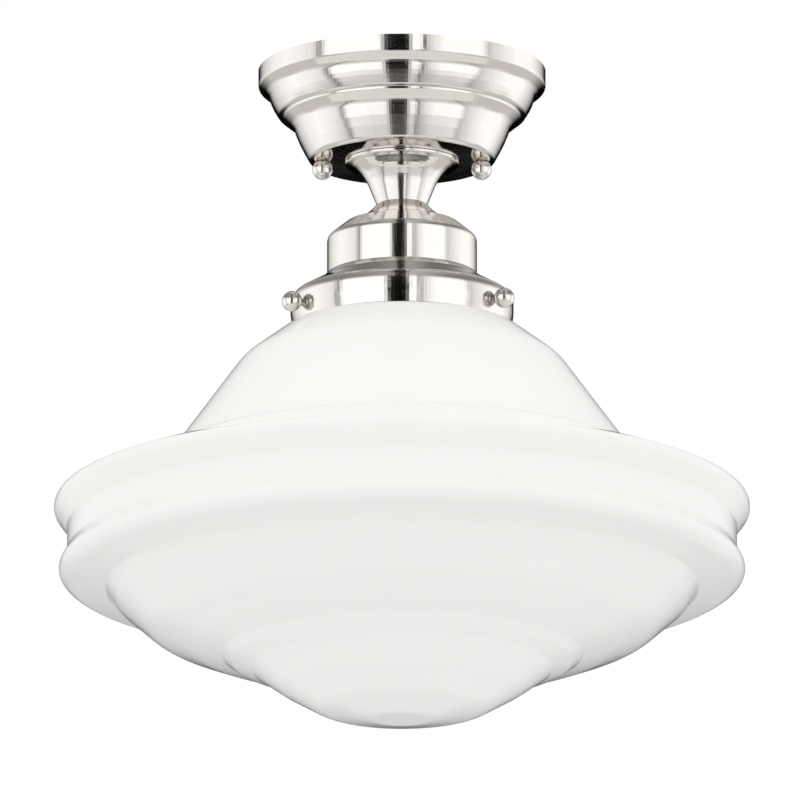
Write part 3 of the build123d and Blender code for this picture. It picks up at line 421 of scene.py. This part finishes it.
def ring_tree():
    """Geometry nodes that repeat a piece at even angles round the Z axis."""
    name = "Repeat round the axis"
    if name in bpy.data.node_groups:
        return bpy.data.node_groups[name]
    tree = bpy.data.node_groups.new(name, "GeometryNodeTree")
    face = tree.interface
    face.new_socket("Piece", in_out="INPUT", socket_type="NodeSocketGeometry")
    face.new_socket("Count", in_out="INPUT", socket_type="NodeSocketInt")
    face.new_socket("First Angle", in_out="INPUT", socket_type="NodeSocketFloat")
    face.new_socket("Finish", in_out="INPUT", socket_type="NodeSocketMaterial")
    face.new_socket("Ring", in_out="OUTPUT", socket_type="NodeSocketGeometry")
    inputs = add(tree, "NodeGroupInput").outputs
    spots = add(tree, "GeometryNodePoints", links={"Count": inputs["Count"]})
    index = add(tree, "GeometryNodeInputIndex")
    share = add(tree, "ShaderNodeMath", operation="DIVIDE",
                links={0: index.outputs[0], 1: inputs["Count"]})
    angle = add(tree, "ShaderNodeMath", {1: math.tau},
                {0: share.outputs[0], 2: inputs["First Angle"]}, operation="MULTIPLY_ADD")
    turn = add(tree, "ShaderNodeCombineXYZ", links={2: angle.outputs[0]})
    copies = add(tree, "GeometryNodeInstanceOnPoints",
                 links={"Points": spots.outputs[0], "Instance": inputs["Piece"],
                        "Rotation": turn.outputs[0]})
    real = add(tree, "GeometryNodeRealizeInstances", links={"Geometry": copies.outputs[0]})
    finished = add(tree, "GeometryNodeSetMaterial",
                   links={"Geometry": real.outputs[0], "Material": inputs["Finish"]})
    add(tree, "NodeGroupOutput", links={0: finished.outputs[0]})
    return tree


def grown(source, tree, inputs):
    """The plain mesh that a geometry node tree makes of a mesh."""
    holder = bpy.data.objects.new("growing", source)
    bpy.context.scene.collection.objects.link(holder)
    modifier = holder.modifiers.new("grow", "NODES")
    modifier.node_group = tree
    sockets = {s.name: s.identifier for s in tree.interface.items_tree if s.in_out == "INPUT"}
    for name, value in inputs.items():
        modifier[sockets[name]] = value
    holder.update_tag()
    bpy.context.view_layer.update()
    ready = holder.evaluated_get(bpy.context.evaluated_depsgraph_get())
    mesh = bpy.data.meshes.new_from_object(ready)
    bpy.data.objects.remove(holder)
    bpy.data.meshes.remove(source)
    return mesh


def facing_outwards(mesh):
    """Turn a closed mesh right side out."""
    shape = bmesh.new()
    shape.from_mesh(mesh)
    if shape.calc_volume(signed=True) < 0:
        bmesh.ops.reverse_faces(shape, faces=shape.faces)
    shape.to_mesh(mesh)
    shape.free()


def turned_mesh(corners, closed, material, segments, place=None, arc_step=ARC_STEP):
    """Turn an outline round the axis, then move the piece to its place."""
    points = rounded(corners, arc_step, closed)
    outline = bpy.data.meshes.new("outline")
    outline.from_pydata([(r, 0, z) for r, z in points],
                        [(i, i + 1) for i in range(len(points) - 1)], [])
    run, runs = 0.0, [0.0]
    for (r0, z0), (r1, z1) in zip(points, points[1:]):
        run += math.hypot(r1 - r0, z1 - z0)
        runs.append(run)
    outline.attributes.new("run", "FLOAT", "POINT").data.foreach_set("value", runs)
    mesh = grown(outline, turning_tree(), {
        "Segments": segments, "Sharp Angle": math.radians(SHARP_ANGLE),
        "Weld Distance": WELD_DISTANCE * MM, "Finish": material})
    facing_outwards(mesh)
    if place is not None:
        mesh.transform(place)
    return mesh


def drill_bit(radius, low, high, material, place):
    """A plain cylinder to drill with."""
    corners = [(0, low, 0), (radius, low, 0), (radius, high, 0), (0, high, 0)]
    return turned_mesh(corners, False, material, HOLE_SEGMENTS, place)


def ball_outline(neck, pole, middle):
    """Points round a ball, from the radius at which its neck meets it to the pole beyond.

    The pole is up (1) or down (-1) from the neck's side, and middle is the ball's own height.
    """
    first = math.asin(neck / BALL_RADIUS)
    angles = [first + k * (math.pi - first) / BALL_STEPS for k in range(BALL_STEPS + 1)]
    return [(BALL_RADIUS * math.sin(t), -pole * BALL_RADIUS * math.cos(t) + middle, 0)
            for t in angles]


def new_piece(name, mesh, body, node):
    """A piece of the light: it rides on a body and stands for a CAD node."""
    mesh.name = name
    piece = bpy.data.objects.new(name, mesh)
    bpy.context.scene.collection.objects.link(piece)
    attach(piece, body)
    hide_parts(node)


def outward(angle, radius, level):
    """A place for a piece that is turned on +Z, so that it points out from the light's axis."""
    return (Matrix.Rotation(math.radians(angle - 90), 4, "Z")
            @ Matrix.Translation((radius * MM, 0, level * MM))
            @ Matrix.Rotation(math.radians(90), 4, "Y"))


def joined(meshes, material):
    """Several meshes with one finish as one mesh."""
    shape = bmesh.new()
    for mesh in meshes:
        shape.from_mesh(mesh)
        bpy.data.meshes.remove(mesh)
    whole = bpy.data.meshes.new("joined")
    shape.to_mesh(whole)
    shape.free()
    whole.materials.append(material)
    return whole


def drilled(mesh, drills):
    """Cut round holes through a mesh."""
    target = bpy.data.objects.new("target", mesh)
    bpy.context.scene.collection.objects.link(target)
    for drill in drills:
        tool = bpy.data.objects.new("drill", drill)
        bpy.context.scene.collection.objects.link(tool)
        cut = target.modifiers.new("drill", "BOOLEAN")
        cut.operation, cut.solver, cut.object = "DIFFERENCE", "EXACT", tool
    bpy.context.view_layer.update()
    ready = target.evaluated_get(bpy.context.evaluated_depsgraph_get())
    result = bpy.data.meshes.new_from_object(ready)
    tools = [cut.object for cut in target.modifiers]
    bpy.data.objects.remove(target)
    for tool in tools:
        bpy.data.objects.remove(tool)
    return result


def dress(nodes, material):
    """Give CAD nodes their material, in the slots that they have."""
    for node in nodes:
        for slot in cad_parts[node].material_slots:
            slot.material = material


# ---------------------------------------------------- settings
class MetalSettings(bpy.types.PropertyGroup):
    colour: FloatVectorProperty(name="Nickel colour", description="Colour of the satin nickel",
                                subtype="COLOR", size=3, min=0, max=1,
                                default=linear("DAD6D1")[:3])
    roughness: FloatProperty(name="Nickel roughness", description="How satin the nickel is",
                             subtype="FACTOR", min=0.05, max=0.8, default=0.085)
    line_spacing: FloatProperty(name="Hair line spacing",
                                description="Distance between the hair lines, in millimetres",
                                min=0.05, max=2.0, default=0.35)
    line_depth: FloatProperty(name="Hair line depth",
                              description="Depth of the hair lines, in millimetres",
                              min=0.0, max=0.1, default=0.004)
    segments: IntProperty(name="Segments", description="Segments round a large turned piece",
                          min=32, max=360, default=256)


class GlassSettings(bpy.types.PropertyGroup):
    colour: FloatVectorProperty(name="Glass colour", description="Colour of the opal glass",
                                subtype="COLOR", size=3, min=0, max=1,
                                default=linear("F5F4F2")[:3])
    roughness: FloatProperty(name="Glass roughness", description="How polished the glass is",
                             subtype="FACTOR", min=0.0, max=0.6, default=0.06)
    segments: IntProperty(name="Segments", description="Segments round the shade",
                          min=32, max=360, default=256)


class WiringSettings(bpy.types.PropertyGroup):
    hot: FloatVectorProperty(name="Hot lead", description="Colour of the hot lead",
                             subtype="COLOR", size=3, min=0, max=1, default=linear("1C1B1B")[:3])
    neutral: FloatVectorProperty(name="Neutral lead", description="Colour of the neutral lead",
                                 subtype="COLOR", size=3, min=0, max=1,
                                 default=linear("E9E7E1")[:3])
    connectors: FloatVectorProperty(name="Connectors", description="Colour of the wire connectors",
                                    subtype="COLOR", size=3, min=0, max=1,
                                    default=linear("DE7A1E")[:3])


class StudioSettings(bpy.types.PropertyGroup):
    camera_distance: FloatProperty(name="Camera distance",
                                   description="From the camera to the light",
                                   subtype="DISTANCE", unit="LENGTH", min=1.0, default=11.0)
    camera_rise: FloatProperty(name="Camera rise", description="How far the camera looks up",
                               subtype="ANGLE", unit="ROTATION", default=math.radians(14.55))
    view_width: FloatProperty(name="View width", description="Width seen at the light",
                              subtype="DISTANCE", unit="LENGTH", min=0.1, default=0.35088)
    floor_drop: FloatProperty(name="Floor", description="Depth of the floor below the ceiling",
                              subtype="DISTANCE", unit="LENGTH", min=1.0, default=3.3)
    light_level: FloatProperty(name="Light level", description="Strength of the room's soft light",
                               min=0.0, max=4.0, default=1.0)


# ---------------------------------------------------- pieces
class CEILINGLIGHT_OT_canopy(bpy.types.Operator):
    """Turn the stepped canopy"""
    bl_idname = "ceiling_light.canopy"
    bl_label = "Canopy"

    def execute(self, context):
        nickel = turned_nickel()
        corners = CANOPY_OUTSIDE + inner_corners(CANOPY_OUTSIDE, SHEET_WALL)[::-1]
        mesh = turned_mesh(corners, True, nickel, context.scene.ceiling_light_metal.segments)
        drills = [drill_bit(STUD_HOLE, *STUD_HOLE_ENDS, nickel,
                            Matrix.Translation((side * STUD_PLACE * MM, 0, 0)))
                  for side in (-1, 1)]
        new_piece("canopy_shell", drilled(mesh, drills), "fitting", "canopy")
        return {"FINISHED"}


class CEILINGLIGHT_OT_neck(bpy.types.Operator):
    """Turn the trumpet neck and the cup below it"""
    bl_idname = "ceiling_light.neck"
    bl_label = "Neck and cup"

    def execute(self, context):
        nickel = turned_nickel()
        segments = context.scene.ceiling_light_metal.segments * 3 // 4
        mesh = turned_mesh(NECK_OUTLINE, True, nickel, segments)
        new_piece("trumpet_neck", mesh, "fitting", "neck")
        corners = CUP_OUTSIDE + inner_corners(CUP_OUTSIDE, SHEET_WALL)[::-1]
        mesh = turned_mesh(corners, True, nickel, segments)
        new_piece("cup_shell", mesh, "fitting", "socket_cup")
        return {"FINISHED"}


class CEILINGLIGHT_OT_holder(bpy.types.Operator):
    """Turn the shade holder, with its collars drilled for the thumb screws"""
    bl_idname = "ceiling_light.holder"
    bl_label = "Shade holder"

    def execute(self, context):
        nickel = turned_nickel()
        segments = context.scene.ceiling_light_metal.segments * 3 // 4
        corners = HOLDER_OUTSIDE + inner_corners(HOLDER_OUTSIDE, SHEET_WALL)[::-1]
        pan = turned_mesh(corners, True, nickel, segments)
        drills = [drill_bit(THUMB_SCREW_HOLE, -THUMB_SCREW_HOLE_REACH, THUMB_SCREW_HOLE_REACH,
                            nickel, outward(angle, HOLDER_RADIUS, THUMB_SCREW_LEVEL))
                  for angle in THUMB_SCREW_ANGLES.values()]
        pan = drilled(pan, drills)
        corners = [(THUMB_SCREW_HOLE, -COLLAR_LENGTH, 0.2), (COLLAR_RADIUS, -COLLAR_LENGTH, 0.4),
                   (COLLAR_RADIUS, COLLAR_LAP, 0), (THUMB_SCREW_HOLE, COLLAR_LAP, 0)]
        inside = HOLDER_RADIUS - SHEET_WALL
        collar = turned_mesh(corners, True, nickel, HOLE_SEGMENTS,
                             outward(90, inside, THUMB_SCREW_LEVEL))
        first = math.radians(THUMB_SCREW_ANGLES["left"] - 90)
        collars = grown(collar, ring_tree(), {"Count": len(THUMB_SCREW_ANGLES),
                                              "First Angle": first, "Finish": nickel})
        new_piece("holder_pan", joined([pan, collars], nickel), "fitting",
                  "shade_holder")
        return {"FINISHED"}


class CEILINGLIGHT_OT_screws(bpy.types.Operator):
    """Turn the ball-headed thumb screws and the ball nuts"""
    bl_idname = "ceiling_light.screws"
    bl_label = "Thumb screws and ball nuts"

    def execute(self, context):
        nickel = turned_nickel()
        ball_place = HOLDER_RADIUS + BALL_RADIUS + BALL_GAP
        tip = THUMB_SCREW_TIP - ball_place
        neck = -math.sqrt(BALL_RADIUS ** 2 - THUMB_SCREW_RADIUS ** 2)
        corners = [(0, tip, 0), (THUMB_SCREW_RADIUS - THUMB_SCREW_CHAMFER, tip, 0),
                   (THUMB_SCREW_RADIUS, tip + THUMB_SCREW_CHAMFER, 0),
                   (THUMB_SCREW_RADIUS, neck, 0)]
        corners += ball_outline(THUMB_SCREW_RADIUS, 1, 0)[1:-1] + [(0, BALL_RADIUS, 0)]
        for side, angle in THUMB_SCREW_ANGLES.items():
            mesh = turned_mesh(corners, False, nickel, BALL_SEGMENTS,
                               outward(angle, ball_place, THUMB_SCREW_LEVEL))
            new_piece("ball_screw_" + side, mesh, "screw_" + side,
                      "thumb_screw_" + side)
        middle = -math.sqrt(BALL_RADIUS ** 2 - NUT_TOP ** 2)
        corners = [(0, -NUT_BORE_DEPTH, 0), (NUT_BORE, -NUT_BORE_DEPTH, 0), (NUT_BORE, 0, 0)]
        corners += ball_outline(NUT_TOP, -1, middle)[:-1] + [(0, middle - BALL_RADIUS, 0)]
        for side, sign in (("left", -1), ("right", 1)):
            place = Matrix.Translation((sign * STUD_PLACE * MM, 0, NUT_LEVEL * MM))
            mesh = turned_mesh(corners, False, nickel, BALL_SEGMENTS, place)
            new_piece("ball_nut_shape_" + side, mesh, "nut_" + side,
                      "ball_nut_" + side)
        return {"FINISHED"}


class CEILINGLIGHT_OT_shade(bpy.types.Operator):
    """Turn the opal glass shade"""
    bl_idname = "ceiling_light.shade"
    bl_label = "Glass shade"

    def execute(self, context):
        inside = inner_corners(GLASS_OUTSIDE, GLASS_WALL)[1:]
        corners = [(0, GLASS_OUTSIDE[-1][1] + GLASS_WALL, 0)] + inside[:-1][::-1] + GLASS_LIP
        corners += GLASS_OUTSIDE
        # the shoulder is seen edge on, where a coarse outline would show as broken lines
        mesh = turned_mesh(corners, False, opal_glass(),
                           context.scene.ceiling_light_glass.segments, arc_step=GLASS_ARC_STEP)
        new_piece("opal_shade", mesh, "shade", "glass_shade")
        return {"FINISHED"}


class CEILINGLIGHT_OT_fixings(bpy.types.Operator):
    """Finish the strap, studs, nuts and washers"""
    bl_idname = "ceiling_light.fixings"
    bl_label = "Strap and fixings"

    def execute(self, context):
        zinc = plated_steel("zinc plated steel, pressed", "C9CBCE", "9FA4AA", 0.34)
        dress(["mounting_strap", "stud_lock_nuts", "threaded_nipple", "canopy_washer",
               "lock_washer", "canopy_locknut", "holder_washer", "holder_locknut",
               "socket_bracket", "bracket_screws", "terminal_screw_neutral"], zinc)
        dress(["canopy_studs"],
              plated_steel("nickel plated steel, threaded", "D2CFCA", "B4B0AA", 0.28))
        dress(["ground_screw"],
              plated_steel("zinc plated steel, dyed green", "2F7A45", "1F5A33", 0.32))
        return {"FINISHED"}


class CEILINGLIGHT_OT_socket(bpy.types.Operator):
    """Finish the porcelain lamp socket and its brass"""
    bl_idname = "ceiling_light.socket"
    bl_label = "Lamp socket"

    def execute(self, context):
        dress(["socket_body"], glazed_porcelain())
        brass = warm_metal("brass, stamped", "D9B45F", "A9823E", 0.3)
        dress(["screw_shell", "centre_contact", "terminal_screw_hot", "ring_terminal"], brass)
        return {"FINISHED"}


class CEILINGLIGHT_OT_wiring(bpy.types.Operator):
    """Finish the leads, the wire connectors and the bare ground lead"""
    bl_idname = "ceiling_light.wiring"
    bl_label = "Wiring"

    def execute(self, context):
        look = context.scene.ceiling_light_wiring
        dress(["lead_hot"], soft_plastic("PVC insulation, black", look.hot, 0.5, 0.42))
        dress(["lead_neutral"], soft_plastic("PVC insulation, white", look.neutral, 0.5, 0.42))
        dress(["wire_nut_hot", "wire_nut_neutral"],
              soft_plastic("polypropylene, moulded", look.connectors, 0.8, 0.38))
        dress(["ground_lead"], warm_metal("copper, drawn bare", "C77A50", "8E4F33", 0.32))
        return {"FINISHED"}


class CEILINGLIGHT_OT_stage(bpy.types.Operator):
    """Make the camera, the pale floor and the soft light of the studio"""
    bl_idname = "ceiling_light.stage"
    bl_label = "Camera, floor and light"

    def execute(self, context):
        look = context.scene.ceiling_light_studio
        self.camera(context, look)
        self.floor(look)
        self.room(context, look)
        context.scene.view_settings.view_transform = "Standard"
        return {"FINISHED"}

    def camera(self, context, look):
        data = bpy.data.cameras.new("camera")
        data.lens = data.sensor_width * look.camera_distance / look.view_width
        data.clip_end = 60.0
        data.shift_x, data.shift_y = (shift / PICTURE_WIDTH for shift in PICTURE_SHIFT)
        camera = bpy.data.objects.new("camera", data)
        context.scene.collection.objects.link(camera)
        aim = Vector((0, 0, -0.15))
        back = Vector((0, -math.cos(look.camera_rise), -math.sin(look.camera_rise)))
        camera.location = aim + back * look.camera_distance
        camera.rotation_euler = (-back).to_track_quat("-Z", "Y").to_euler()
        context.scene.camera = camera

    def floor(self, look):
        """A pale floor, seen from above only, so that it hides nothing from a camera below it."""
        mesh = bpy.data.meshes.new("floor")
        reach = 30.0
        mesh.from_pydata([(-reach, -reach, 0), (reach, -reach, 0), (reach, reach, 0),
                          (-reach, reach, 0)], [], [(0, 1, 2, 3)])
        material, tree = new_material("floor, pale paint")
        side = add(tree, "ShaderNodeNewGeometry")
        paint = add(tree, "ShaderNodeBsdfDiffuse", {"Color": linear("F4F4F2")})
        clear = add(tree, "ShaderNodeBsdfTransparent")
        both = add(tree, "ShaderNodeMixShader", links={0: side.outputs["Backfacing"],
                                                      1: paint.outputs[0], 2: clear.outputs[0]})
        finish_material(tree, both)
        mesh.materials.append(material)
        floor = bpy.data.objects.new("floor", mesh)
        floor.location.z = -look.floor_drop
        floor.visible_glossy = floor.visible_diffuse = floor.visible_transmission = False
        bpy.context.scene.collection.objects.link(floor)

    def room(self, context, look):
        """The world: even light on matt surfaces, the room in mirrors and white for the camera."""
        world = bpy.data.worlds.new("studio")
        context.scene.world = world
        world.use_nodes = True
        tree = world.node_tree
        tree.nodes.clear()
        where = add(tree, "ShaderNodeTexCoord")
        part = add(tree, "ShaderNodeSeparateXYZ", links={0: where.outputs["Generated"]})
        mirrored = self.mirrored_room(tree, part.outputs)
        # what falls on matt surfaces: even light, a little weaker from below
        fall = add(tree, "ShaderNodeMapRange", {"From Min": -1.0, "From Max": 0.2, "To Min": 1.03,
                                                "To Max": 1.1}, {"Value": part.outputs["Z"]})
        even = add(tree, "ShaderNodeCombineColor",
                   links={channel: fall.outputs["Result"] for channel in range(3)})
        path = add(tree, "ShaderNodeLightPath")
        sharp = add(tree, "ShaderNodeMath", links={0: path.outputs["Is Glossy Ray"],
                                                   1: path.outputs["Is Transmission Ray"]},
                    operation="MAXIMUM")
        seen = add(tree, "ShaderNodeMix", links={"Factor": sharp.outputs[0],
                                                 "A": even.outputs[0],
                                                 "B": mirrored}, data_type="RGBA")
        soft = add(tree, "ShaderNodeBackground", {"Strength": look.light_level},
                   {"Color": seen.outputs["Result"]})
        white = add(tree, "ShaderNodeBackground", {"Color": WHITE, "Strength": 1.0})
        shown = add(tree, "ShaderNodeMixShader", links={0: path.outputs["Is Camera Ray"],
                                                       1: soft.outputs[0], 2: white.outputs[0]})
        add(tree, "ShaderNodeOutputWorld", links={"Surface": shown.outputs[0]})

    def mirrored_room(self, tree, part):
        """A bright round room: wide soft boxes on both sides of a dark gap for the camera."""
        back = add(tree, "ShaderNodeMath", {1: -1.0}, {0: part["Y"]}, operation="MULTIPLY")
        round_room = add(tree, "ShaderNodeMath", links={0: part["X"], 1: back.outputs[0]},
                         operation="ARCTAN2")
        turn = add(tree, "ShaderNodeMapRange", {"From Min": -math.pi, "From Max": math.pi},
                   {"Value": round_room.outputs[0]})
        walls = add(tree, "ShaderNodeValToRGB", links={"Fac": turn.outputs["Result"]})
        self.set_ramp(walls, [((angle + 180) / 360, level) for angle, level in WALL_LIGHT])
        # overhead the room is a grey ceiling, split by the same dark gap
        width = add(tree, "ShaderNodeMapRange", {"From Min": -1.0, "From Max": 1.0},
                    {"Value": part["X"]})
        ceiling = add(tree, "ShaderNodeValToRGB", links={"Fac": width.outputs["Result"]})
        self.set_ramp(ceiling, CEILING_LIGHT)
        high = self.fade(tree, part["Z"], 0.22, 0.62)
        upper = self.blend(tree, high, walls.outputs["Color"], ceiling.outputs["Color"])
        # near the floor the walls lose their contrast
        low = self.fade(tree, part["Z"], -0.3, -0.75)
        dim = add(tree, "ShaderNodeMapRange", {"From Max": 1.5, "To Min": 0.13, "To Max": 0.8},
                  {"Value": walls.outputs["Color"]})
        around = self.blend(tree, low, upper, dim.outputs["Result"])
        # behind the light, the floor is lit again below the dark back wall
        far = self.fade(tree, part["Y"], 0.1, 0.5)
        deep = self.fade(tree, part["Z"], -0.28, -0.48)
        both = add(tree, "ShaderNodeMath", links={0: far, 1: deep}, operation="MULTIPLY")
        mirrored = add(tree, "ShaderNodeMix", {"B": BACK_FLOOR_LIGHT},
                       {"Factor": both.outputs[0], "A": around}, data_type="RGBA")
        return mirrored.outputs["Result"]

    def fade(self, tree, value, first, last):
        """A soft step from 0 to 1 between two levels of a direction's part."""
        return add(tree, "ShaderNodeMapRange", {"From Min": first, "From Max": last},
                   {"Value": value}, interpolation_type="SMOOTHSTEP").outputs["Result"]

    def blend(self, tree, factor, first, second):
        return add(tree, "ShaderNodeMix", links={"Factor": factor, "A": first, "B": second},
                   data_type="RGBA").outputs["Result"]

    def set_ramp(self, node, levels):
        """Fill a colour ramp with greys at their places."""
        ramp = node.color_ramp
        while len(ramp.elements) > 1:
            ramp.elements.remove(ramp.elements[-1])
        ramp.elements[0].position = levels[0][0]
        ramp.elements[0].color = (levels[0][1],) * 3 + (1.0,)
        for position, level in levels[1:]:
            ramp.elements.new(position).color = (level,) * 3 + (1.0,)


# ---------------------------------------------------- panel and registration
OPERATORS = (
    CEILINGLIGHT_OT_stage, CEILINGLIGHT_OT_canopy, CEILINGLIGHT_OT_neck, CEILINGLIGHT_OT_holder,
    CEILINGLIGHT_OT_screws, CEILINGLIGHT_OT_shade, CEILINGLIGHT_OT_fixings,
    CEILINGLIGHT_OT_socket, CEILINGLIGHT_OT_wiring,
)
SETTINGS = {
    "ceiling_light_metal": MetalSettings,
    "ceiling_light_glass": GlassSettings,
    "ceiling_light_wiring": WiringSettings,
    "ceiling_light_studio": StudioSettings,
}


class CEILINGLIGHT_PT_panel(bpy.types.Panel):
    """Settings and pieces of the ceiling light"""
    bl_idname = "CEILINGLIGHT_PT_panel"
    bl_label = "Ceiling light"
    bl_space_type = "VIEW_3D"
    bl_region_type = "UI"
    bl_category = "Ceiling light"

    def draw(self, context):
        for name, group in SETTINGS.items():
            box = self.layout.box()
            for prop in group.__annotations__:
                box.prop(getattr(context.scene, name), prop)
        for operator in OPERATORS:
            self.layout.operator(operator.bl_idname)


def register():
    for group in SETTINGS.values():
        bpy.utils.register_class(group)
    for name, group in SETTINGS.items():
        setattr(bpy.types.Scene, name, PointerProperty(type=group))
    for operator in OPERATORS:
        bpy.utils.register_class(operator)
    bpy.utils.register_class(CEILINGLIGHT_PT_panel)


def unregister():
    bpy.utils.unregister_class(CEILINGLIGHT_PT_panel)
    for operator in reversed(OPERATORS):
        bpy.utils.unregister_class(operator)
    for name in SETTINGS:
        delattr(bpy.types.Scene, name)
    for group in SETTINGS.values():
        bpy.utils.unregister_class(group)


def main():
    register()
    for operator in OPERATORS:
        group, name = operator.bl_idname.split(".")
        getattr(getattr(bpy.ops, group), name)()


if __name__ == "__main__":
    main()
